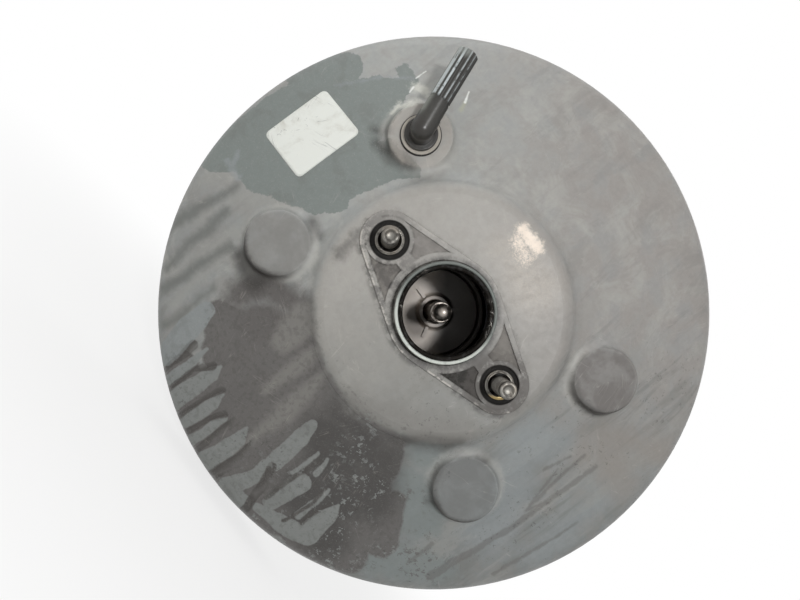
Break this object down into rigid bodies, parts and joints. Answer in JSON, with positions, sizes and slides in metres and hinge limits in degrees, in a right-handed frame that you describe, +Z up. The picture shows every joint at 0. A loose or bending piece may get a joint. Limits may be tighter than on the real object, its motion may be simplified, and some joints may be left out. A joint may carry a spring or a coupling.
{
  "type": "brake booster",
  "caption": "Vacuum brake booster: pressed round shell with studded front and rear faces, hub bore with output rod, vacuum elbow, bellows boot and pedal rod with clevis.",
  "frame": {"origin": "centre of the rear mounting face, on the booster's axis", "axes": "+Y along the booster's axis towards the pedal, the master cylinder side faces -Y, +Z up as fitted, +X to the right seen from the front"},
  "size_m": [0.2864, 0.26, 0.2864],
  "materials": {
    "shell_paint": "satin grey paint, dusty and oil stained",
    "plated_plate": "dull plated sheet steel",
    "zinc_steel": "yellow passivated zinc plate",
    "polished_steel": "ground steel",
    "spring_steel": "oiled spring wire",
    "rubber": "matt black rubber",
    "black_nylon": "moulded glass filled nylon",
    "hub_plastic": "moulded phenolic resin",
    "felt": "pressed felt",
    "foam": "open cell foam"
  },
  "bodies": {
    "housing": {"front_shell": "shell_paint", "rear_shell": "shell_paint", "front_reinforcement": "plated_plate", "rear_reinforcement": "plated_plate", "master_cylinder_studs": "zinc_steel", "bulkhead_studs": "zinc_steel", "neck_seal": "rubber", "neck_bearing": "black_nylon", "port_grommet": "rubber", "dust_boot": "rubber", "return_spring": "spring_steel", "diaphragm": "rubber"},
    "power_piston": {"diaphragm_plate": "plated_plate", "valve_body": "hub_plastic", "stop_key": "zinc_steel", "reaction_disc": "rubber", "output_rod": "zinc_steel", "output_rod_tip": "polished_steel", "rod_retainer": "hub_plastic", "poppet_valve": "rubber", "poppet_spring": "spring_steel", "valve_retainer": "zinc_steel", "rod_spring": "spring_steel", "silencer_felt": "felt", "air_filter": "foam"},
    "control_valve": {"control_plunger": "polished_steel"},
    "pedal_rod": {"input_rod": "zinc_steel", "lock_nut": "zinc_steel", "clevis": "zinc_steel"},
    "check_valve": {"vacuum_elbow": "black_nylon"}
  },
  "joints": [
    {"name": "piston_slide", "type": "slide", "parent": "housing", "child": "power_piston", "axis": [0, -1, 0], "range_m": [0, 0.03], "stiffness_N_per_m": 1500, "springref_m": -0.06, "deforming": ["return_spring", "diaphragm", "dust_boot"]},
    {"name": "valve_slide", "type": "slide", "parent": "power_piston", "child": "control_valve", "axis": [0, -1, 0], "range_m": [0, 0.0015], "stiffness_N_per_m": 2000, "springref_m": -0.008, "deforming": ["rod_spring", "poppet_spring"]},
    {"name": "pedal_rod_pitch", "type": "hinge", "parent": "control_valve", "child": "pedal_rod", "pos_m": [0, 0.012, 0], "axis": [1, 0, 0], "range_deg": [-2.5, 2.5]},
    {"name": "elbow_swivel", "type": "hinge", "parent": "housing", "child": "check_valve", "pos_m": [-0.07127, -0.09, 0.04115], "axis": [0, 1, 0], "continuous": true}
  ]
}
